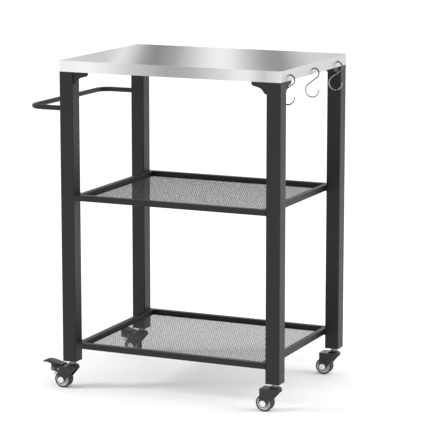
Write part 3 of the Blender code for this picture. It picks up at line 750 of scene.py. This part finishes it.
def makeScrews(places):
    radius, height = screw["radius"], screw["height"]
    profile = [(0, 0), (radius, 0), (radius, -height * 0.35), (radius * 0.8, -height * 0.8), (0, -height)]
    cuts = []
    for wide, narrow in ((radius * 0.55, screw["slot"]), (screw["slot"], radius * 0.55)):
        slot = [(wide, narrow), (-wide, narrow), (-wide, -narrow), (wide, -narrow)]
        cuts.append((extrude(slot, -2 * height, -height + screw["depth"]), "DIFFERENCE"))
    head = carve(lathe(profile, 16), cuts)
    makePiece("gusset_screws", copyTo(places, head, plated), plated, "cart")


# Shelves: four rails welded with mitred corners round a panel of expanded mesh.
shelf = {
    "rail": 14 * mm, "corner": 1.2 * mm, "diamondWidth": 5.8 * mm, "diamondLength": 10.8 * mm,
    "strandWidth": 1.25 * mm, "strandThickness": 0.6 * mm, "border": 3.0 * mm,
}  # fmt: skip


def makeShelves():
    for name in ("middle_shelf", "lower_shelf"):
        low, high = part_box(name + "_frame")
        half = (high - low) / 2
        at = (high + low) / 2
        side = shelf["rail"] / 2
        section = [(p.x + side, p.y) for p in roundedOutline(side, side, shelf["corner"], 4)]
        loops = []
        for signX, signY in ((1, 1), (-1, 1), (-1, -1), (1, -1)):
            spots = [(signX * (half.x - d), signY * (half.y - d), z) for d, z in section]
            loops.append([Vector(spot) + at for spot in spots])
        makePiece(name + "_rails", joinLoops(loops, ring=True), coated, "cart", [name + "_frame"])
        low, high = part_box(name + "_mesh")
        size = high - low
        sizes = {
            "Across": int((size.x - shelf["border"]) / shelf["diamondWidth"]),
            "Along": int((size.y - shelf["border"]) / shelf["diamondLength"]),
            "Panel Length": size.x - shelf["border"],
            "Panel Width": size.y - shelf["border"],
            "Border": shelf["border"],
            "Strand Width": shelf["strandWidth"],
            "Strand Thickness": shelf["strandThickness"],
            "Finish": meshed[0],
        }
        sizes["Diamond Width"] = sizes["Panel Length"] / sizes["Across"]
        sizes["Diamond Length"] = sizes["Panel Width"] / sizes["Along"]
        mesh = grow(meshPanelTree, sizes)
        mesh.transform(Matrix.Translation((low + high) / 2))
        makePiece(name + "_expanded_mesh", mesh, meshed, "cart", [name + "_mesh"], flat=True)


# The handle is one tube, bent twice.
handle = {"radius": 6 * mm, "wall": 1.2 * mm, "bend": 30 * mm}


def makeHandle():
    low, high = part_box("side_handle")
    z = (low.z + high.z) / 2
    radius, bend = handle["radius"], handle["bend"]
    arms = high.y - radius
    route = [Vector((high.x, -arms))]
    route += arc((low.x + radius + bend, -arms + bend), bend, 270, 180, 20)
    route += arc((low.x + radius + bend, arms - bend), bend, 180, 90, 20)
    route.append(Vector((high.x, arms)))
    path = raised(route, z)
    up = Vector((0, 0, 1))
    outside = sweep(path, up, [radius] * len(path))
    inside = sweep(path, up, [radius - handle["wall"]] * len(path))
    makePiece("handle_tube", joinLoops(outside + inside[::-1], ring=True), coated, "cart", ["side_handle"])


# Weld beads where the handle, the shelf rails and the gussets meet the legs.
weld = {
    "pitch": 1.1 * mm, "radius": 1.0 * mm, "seed": 7, "proud": 0.2 * mm, "start": 2 * mm, "below": 3 * mm,
}  # fmt: skip


def makeWelds():
    seams = []
    tubeLow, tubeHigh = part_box("side_handle")
    tube = middleOf("side_handle")
    ring = circle(handle["radius"] + weld["proud"], 24)
    for y in (tubeLow.y + handle["radius"], tubeHigh.y - handle["radius"]):
        seams.append([(tubeHigh.x, y + p.x, tube.z + p.y) for p in [*ring, ring[0]]])
    middle = middleOf("tabletop")
    for corner in corners:
        low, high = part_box(corner + "_leg")
        inward = Vector((1 if high.x < middle.x else -1, 1 if high.y < middle.y else -1))
        x = high.x if inward.x > 0 else low.x
        outer, inner = (low.y, high.y) if inward.y > 0 else (high.y, low.y)
        for name in ("middle_shelf", "lower_shelf"):
            shelfLow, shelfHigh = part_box(name + "_frame")
            for z in (shelfLow.z, shelfHigh.z):
                seams.append([(x, outer + inward.y * weld["start"], z), (x, inner, z)])
            seams.append([(x, inner, shelfLow.z), (x, inner, shelfHigh.z)])
        depth = gusset["inset"] + gusset["plate"]
        foot = topLow.z + gusset["toe"][-1][1] * mm + weld["radius"]
        head = topLow.z - weld["below"]
        seams.append([(x, outer + inward.y * depth, foot), (x, outer + inward.y * depth, head)])
        side = (low.x if inward.x > 0 else high.x) + inward.x * depth
        seams.append([(side, inner, foot), (side, inner, head)])
    sizes = {"Pitch": weld["pitch"], "Radius": weld["radius"], "Seed": weld["seed"], "Finish": coated[0]}
    makePiece("weld_beads", grow(weldTree, sizes, guideMesh(seams)), coated, "cart", crease=80)


def hookPath():
    # Two circles turned opposite ways, joined by the line that touches both, in X and Z from the apex.
    upper, lower = Vector((0, -hook["upper"])), Vector((hook["shift"], -hook["drop"]))
    between = lower - upper
    leave = math.degrees(math.atan2(between.y, between.x))
    leave += math.degrees(math.acos((hook["upper"] + hook["lower"]) / between.length))
    path = arc(upper, hook["upper"], hook["inner"], leave, 40)
    return path + arc(lower, hook["lower"], leave + 180, hook["tip"], 40)


def roundEnds(path, radius, steps=4):
    # Radii along a path that ends in two domes, with the points that the domes need.
    out, radii = [], []
    for i in range(steps + 1):
        turn = math.radians(90 * i / steps)
        out.append(path[0] + (path[0] - path[1]).normalized() * radius * math.cos(turn))
        radii.append(max(radius * math.sin(turn), radius * 0.05))
    out += path[1:-1]
    radii += [radius] * len(path[1:-1])
    for i in range(steps, -1, -1):
        turn = math.radians(90 * i / steps)
        out.append(path[-1] + (path[-1] - path[-2]).normalized() * radius * math.cos(turn))
        radii.append(max(radius * math.sin(turn), radius * 0.05))
    return out, radii


def makeHooks():
    x = topHigh.x - top["sheet"] / 2
    for name in hookNames:
        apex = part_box(name)[1].z - hook["wire"]
        path = [Vector((x + p.x, middleOf(name).y, apex + p.y)) for p in hookPath()]
        points, radii = roundEnds(path, hook["wire"])
        loops = sweep(points, Vector((0, 1, 0)), radii)
        makePiece(name + "_wire", joinLoops(loops), wired, name, [name], crease=60)


makeTop()
makeStiffeners()
makeLegs()
for corner in corners:
    softCopy(corner + "_plug", corner + "_foot_plug", moulded, "cart", leg["plugEase"])
makeGussets()
makeShelves()
makeHandle()
makeWelds()
makeHooks()
print("top, frame and hooks made")


# Casters. X is measured from the stem, Z from the floor, and the wheel trails behind the stem.
caster = {
    "half": 16.6 * mm, "sheet": 2.0 * mm, "top": 55 * mm, "rear": 32.5 * mm, "boss": 9.4 * mm, "low": 8 * mm,
    "throat": ((-7.5 * mm, 26.5 * mm), (12 * mm, 48.5 * mm), (19.6 * mm, 49.5 * mm)), "earStep": 2 * mm,
    "dome": 15 * mm, "rise": 3.5 * mm, "stem": 4 * mm, "axle": 3 * mm, "gap": 0.3 * mm, "ear": 5.7 * mm,
    "pedalPivot": (-45.5 * mm, 46.5 * mm), "leafPivot": (-30.5 * mm, 46 * mm),
    "pedalPin": 2.2 * mm, "leafPin": 1.5 * mm, "domeEdge": 3 * mm, "ease": 0.4 * mm,
}  # fmt: skip


def stemAt(corner):
    return middleOf(corner + "_stem") * Vector((1, 1, 0))


def forkSide(corner):
    # A cheek: rear edge, boss round the axle, then a slope up to the front.
    rear, high = -caster["rear"], caster["top"] + caster["rise"]
    outline = [Vector((caster["throat"][-1][0], high)), Vector((rear, high))]
    if corner in braked:
        x, z = caster["pedalPivot"]
        outline.append(Vector((rear, z + caster["ear"])))
        outline += arc((x, z), caster["ear"], 90, 270, 20)
        outline.append(Vector((rear, z - caster["ear"] - caster["earStep"])))
    axle = middleOf(corner + "_tyre") - stemAt(corner)
    outline += arc((axle.x, axle.z), caster["boss"], 180, 315, 20)
    return outline + [Vector(p) for p in caster["throat"]]


def forkPlan(half, rear):
    return arc((0, 0), half, -90, 90, 40) + [Vector((-rear, half)), Vector((-rear, -half))]


def makeFork(corner):
    at = stemAt(corner)
    axle = middleOf(corner + "_tyre") - at
    half, sheet, high, stem = caster["half"], caster["sheet"], caster["top"], caster["stem"]
    wide = 2 * half
    rear = -caster["pedalPivot"][0] + 2 * caster["ear"] if corner in braked else caster["rear"]
    solid = extrude(forkPlan(half, rear), caster["low"], high)
    cuts = [(extrude(forkPlan(half - sheet, rear + wide), 0, high - sheet), "DIFFERENCE")]
    cuts.append((extrude(forkSide(corner), -wide, wide, "Y"), "INTERSECT"))
    edge, rise = caster["domeEdge"], caster["rise"]
    crown = arc((caster["dome"] - edge, high + rise - edge), edge, 10, 90, 6)
    dome = [(0, high - sheet / 2), (caster["dome"], high - sheet / 2), *crown, (0, high + rise)]
    cuts.append((lathe(dome, 48), "UNION"))
    cuts.append((extrude(circle(stem + caster["gap"], 32), high - wide, high + wide), "DIFFERENCE"))
    holes = [((axle.x, axle.z), caster["axle"])]
    if corner in braked:
        holes += [(caster["pedalPivot"], caster["pedalPin"]), (caster["leafPivot"], caster["leafPin"])]
    for (x, z), radius in holes:
        hole = extrude(circle(radius + caster["gap"], 24), -wide, wide, "Y")
        cuts.append((placed(hole, (x, 0, z)), "DIFFERENCE"))
    mesh = carve(solid, cuts)
    mesh.transform(Matrix.Translation(at))
    body = corner + "_caster"
    makePiece(corner + "_fork_shell", mesh, enamelled, body, [corner + "_fork"], 30, caster["ease"])


# A stem riveted over inside the fork, with a disc that sits over the dome and a collar under the leg.
stem = {
    "rivet": 6.2 * mm, "rivetHead": 2.2 * mm, "disc": 9 * mm, "plate": 2.3 * mm, "collar": 6.8 * mm,
    "edge": 0.5 * mm, "groove": 0.35 * mm,
}  # fmt: skip


def makeStem(corner):
    low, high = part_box(corner + "_stem")
    radius, edge, groove = caster["stem"], stem["edge"], stem["groove"]
    rivet, disc, collar = stem["rivet"], stem["disc"], stem["collar"]
    foot = caster["top"] + caster["rise"] + caster["gap"]
    head = foot + stem["plate"]
    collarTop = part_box(corner + "_leg")[0].z - caster["gap"]
    under = low.z + stem["rivetHead"]
    profile = [(0, low.z), (rivet * 0.7, low.z + edge / 3), (rivet, low.z + 2 * edge), (rivet, under)]
    profile += [(radius, under), (radius, foot), (disc - edge, foot), (disc, foot + edge)]
    middle = (foot + head) / 2
    profile += [(disc, middle - groove), (disc - groove, middle), (disc, middle + groove)]
    profile += [(disc, head - edge), (disc - edge, head), (collar, head)]
    profile += [(collar, collarTop - edge), (collar - edge, collarTop)]
    profile += [(radius, collarTop), (radius, high.z - edge), (radius - edge, high.z), (0, high.z)]
    shape = placed(lathe(profile, 48), stemAt(corner))
    makePiece(corner + "_stem_and_disc", shape, plated, "cart", [corner + "_stem"])


# A hub with a thin web between its boss and its rim, and a tyre moulded with a fine seam round its middle.
wheel = {
    "bore": 3.3 * mm, "boss": 6 * mm, "web": 4.5 * mm, "rim": 16.8 * mm, "lip": 3.0 * mm, "round": 0.5 * mm,
    "shoulder": 2.4 * mm, "seam": 0.15 * mm, "fillet": 1.5 * mm,
}  # fmt: skip


def makeWheel(corner):
    at = middleOf(corner + "_tyre")
    hubLow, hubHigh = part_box(corner + "_hub")
    bossHalf = (hubHigh.y - hubLow.y) / 2
    tyreLow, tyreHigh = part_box(corner + "_tyre")
    tyreHalf = (tyreHigh.y - tyreLow.y) / 2
    radius = (tyreHigh.z - tyreLow.z) / 2
    rimHalf = tyreHalf - wheel["lip"] / 2
    web, rim, lip, soft, fillet = (wheel[name] for name in ("web", "rim", "lip", "round", "fillet"))
    side = [(wheel["bore"], bossHalf), (wheel["boss"] - soft, bossHalf), (wheel["boss"], bossHalf - soft)]
    side += [(wheel["boss"] + p.x, web + p.y) for p in arc((fillet, fillet), fillet, 180, 270, 5)]
    side += [(rim - lip - fillet + p.x, web + p.y) for p in arc((0, fillet), fillet, 270, 350, 5)]
    side += [(rim - lip + soft, rimHalf), (rim - soft, rimHalf), (rim, rimHalf - soft)]
    profile = side + [(r, -h) for r, h in reversed(side)]
    shape = placed(lathe(profile, 64, True, True), at)
    makePiece(corner + "_hub_moulding", shape, hubbed, corner + "_wheel", [corner + "_hub"], 40)
    seat, shoulder, seam = rim + caster["gap"], wheel["shoulder"], wheel["seam"]
    crown = [(seat, tyreHalf - soft), (seat + soft, tyreHalf)]
    crown += [(p.x, p.y) for p in arc((radius - shoulder, tyreHalf - shoulder), shoulder, 80, 12, 8)]
    crown += [(radius, tyreHalf - 2 * shoulder), (radius, 2 * seam), (radius - seam, seam)]
    profile = crown + [(r, -h) for r, h in reversed(crown)]
    shape = placed(lathe(profile, 96, True, True), at)
    makePiece(corner + "_tyre_ring", shape, tyred, corner + "_wheel", [corner + "_tyre"], 40)


def pinShape(node, radius):
    # A plain pin with a domed head at each end, as big as the CAD pin's box.
    low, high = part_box(node)
    half, head = (high.y - low.y) / 2, (high.z - low.z) / 2
    face = caster["half"] + caster["gap"]
    rim = (half - face) * 0.35
    crown = half - face - rim
    turns = [math.radians(a) for a in range(90, -1, -10)]
    dome = [(head * math.sin(a), face + rim + crown * math.cos(a)) for a in turns]
    edge = 0.2 * mm
    end = [(radius, face), (head - edge, face), (head, face + edge), *dome]
    profile = [(r, -h) for r, h in reversed(end)] + end
    profile[0], profile[-1] = (0, -half), (0, half)
    return placed(lathe(profile, 40, alongY=True), (low + high) / 2)


# The brake: a rocking pedal on two pins, and a leaf that it presses on the tyre.
brake = {
    "half": 12 * mm, "lobe": 5.8 * mm, "rest": 0.6 * mm, "leafHalf": 8 * mm, "leafLength": 24 * mm,
    "leafPlate": 1.2 * mm, "leafCurl": 3 * mm, "leafSlope": 222.4, "ribs": 9, "ribRadius": 0.45 * mm,
    "ribShare": 0.72, "heel": -36.5 * mm, "ease": 0.5 * mm, "leafEase": 0.15 * mm, "boreHalf": 100 * mm,
    "rise": ((-22.0, 57.6), (-36.0, 58.2), (-48.0, 64.3), (-61.0, 64.3)),
    "curl": ((-61.0, 64.3), (-67.0, 64.3), (-72.0, 62.8), (-75.7, 60.0)),
    "under": ((-75.0, 58.5), (-67.0, 60.2), (-58.0, 59.2), (-53.5, 56.0)),
}  # fmt: skip


def tongueLine(steps):
    # The pedal's upper face, from the fork to its tip, in X and Z.
    line = bezier(brake["rise"], steps) + bezier(brake["curl"], steps)[1:]
    return [p * mm for p in line]


def boreFor(pin):
    return extrude(circle(pin + caster["gap"], 24), -brake["boreHalf"], brake["boreHalf"], "Y")


def makePedal(corner):
    at = stemAt(corner)
    x, z = caster["pedalPivot"]
    under = [p * mm for p in bezier(brake["under"], 20)]
    foot = caster["top"] + brake["rest"]
    line = tongueLine(20)
    outline = line + under + arc((x, z), brake["lobe"], 180, 360, 20)
    outline += [Vector((brake["heel"], foot)), Vector((line[0].x, foot))]
    bore = placed(boreFor(caster["pedalPin"]), (x, 0, z))
    mesh = carve(extrude(outline, -brake["half"], brake["half"], "Y"), [(bore, "DIFFERENCE")])
    mesh.transform(Matrix.Translation(at))
    body = corner + "_brake_pedal"
    makePiece(corner + "_pedal_lever", mesh, moulded, body, [corner + "_pedal"], 30, brake["ease"])
    tread = tongueLine(24)[20:-8]
    spots = [tread[round(i * (len(tread) - 1) / (brake["ribs"] - 1))] for i in range(brake["ribs"])]
    reach = brake["half"] * brake["ribShare"]
    rib = extrude(circle(brake["ribRadius"], 8), -reach, reach, "Y")
    ribs = copyTo([(p.x + at.x, at.y, p.y) for p in spots], rib, moulded)
    makePiece(corner + "_pedal_ribs", ribs, moulded, body, crease=50)


def makeLeaf(corner):
    slope = math.radians(brake["leafSlope"])
    along = Vector((math.cos(slope), math.sin(slope)))
    side = Vector((-along.y, along.x)) * brake["leafPlate"] / 2
    meet = math.degrees(math.asin(brake["leafPlate"] / 2 / brake["leafCurl"]))
    curl = arc((0, 0), brake["leafCurl"], brake["leafSlope"] + meet, brake["leafSlope"] + 360 - meet, 32)
    end = along * brake["leafLength"]
    outline = curl + [end - side, end + side]
    blade = extrude(outline, -brake["leafHalf"], brake["leafHalf"], "Y")
    mesh = carve(blade, [(boreFor(caster["leafPin"]), "DIFFERENCE")])
    x, z = caster["leafPivot"]
    mesh.transform(Matrix.Translation(stemAt(corner) + Vector((x, 0, z))))
    body = corner + "_brake_shoe"
    makePiece(corner + "_leaf_blade", mesh, enamelled, body, [corner + "_brake_leaf"], 30, brake["leafEase"])


for corner in corners:
    makeFork(corner)
    makeStem(corner)
    makeWheel(corner)
    axle = pinShape(corner + "_axle", caster["axle"])
    makePiece(corner + "_axle_caps", axle, capped, corner + "_caster", [corner + "_axle"])
    if corner in braked:
        makePedal(corner)
        makeLeaf(corner)
        for kind in ("pedal", "leaf"):
            node = f"{corner}_{kind}_pin"
            shape = pinShape(node, caster[kind + "Pin"])
            makePiece(f"{node}_rivet", shape, plated, corner + "_caster", [node])
print("casters made")


# The stage: a pale floor, an even white surround and two soft lights.
stage = {
    "half": 12.0, "bottom": -0.02, "top": -0.3 * mm, "colours": ("#F4F4F4", "#F8F8F8"), "cloud": 2.0,
    "surround": 1.0,
}  # fmt: skip
view = {
    "aim": (0.0683, 0.0, 0.4115), "distance": 5.131, "azimuth": 24.25, "elevation": 10.36,
    "lens": 179.6, "sensor": 36, "far": 60,
}  # fmt: skip
lamps = (
    {"kind": "SUN", "at": (-2.9, -1.75, 2.2), "spread": 13, "power": 1.8, "gleams": False},
    {"kind": "AREA", "at": (3.2, 0.6, 2.0), "size": 2.2, "power": 60, "gleams": True},
)


def makeFloor():
    half = stage["half"]
    square = [(-half, -half), (half, -half), (half, half), (-half, half)]
    floor = holdShape("floor", extrude(square, stage["bottom"], stage["top"]))
    material, tree, shader, place = startFinish("matt_studio_floor", {"Roughness": 0.9})
    cloud = addNode(tree, "ShaderNodeTexNoise", {"Vector": place, "Scale": 1 / stage["cloud"]})
    tone = addNode(tree, "ShaderNodeValToRGB", {"Fac": cloud.outputs["Fac"]})
    setStops(tone, tuple(enumerate(stage["colours"])))
    joinFinish(tree, shader, tone.outputs["Color"])
    floor.data.materials.append(material)


def makeLights():
    world = bpy.data.worlds.new("studio")
    bpy.context.scene.world = world
    world.use_nodes = True
    surround = world.node_tree.nodes["Background"].inputs
    surround["Color"].default_value = (1, 1, 1, 1)
    surround["Strength"].default_value = stage["surround"]
    for lamp in lamps:
        data = bpy.data.lights.new("light", lamp["kind"])
        data.energy = lamp["power"]
        if lamp["kind"] == "SUN":
            data.angle = math.radians(lamp["spread"])
        else:
            data.size = lamp["size"]
        light = bpy.data.objects.new("light", data)
        bpy.context.scene.collection.objects.link(light)
        light.location = lamp["at"]
        light.visible_glossy = lamp["gleams"]
        aim = Vector(view["aim"]) - light.location
        light.rotation_euler = aim.to_track_quat("-Z", "Y").to_euler()


def makeCamera():
    data = bpy.data.cameras.new("camera")
    camera = bpy.data.objects.new("camera", data)
    bpy.context.scene.collection.objects.link(camera)
    turn, rise = math.radians(view["azimuth"]), math.radians(view["elevation"])
    back = Vector((math.sin(turn) * math.cos(rise), -math.cos(turn) * math.cos(rise), math.sin(rise)))
    camera.location = Vector(view["aim"]) + back * view["distance"]
    camera.rotation_euler = (math.pi / 2 - rise, 0, turn)
    data.lens = view["lens"]
    data.sensor_width = view["sensor"]
    data.clip_end = view["far"]
    bpy.context.scene.camera = camera


makeFloor()
makeLights()
makeCamera()
bpy.context.scene.view_settings.view_transform = "Standard"
print("stage made")
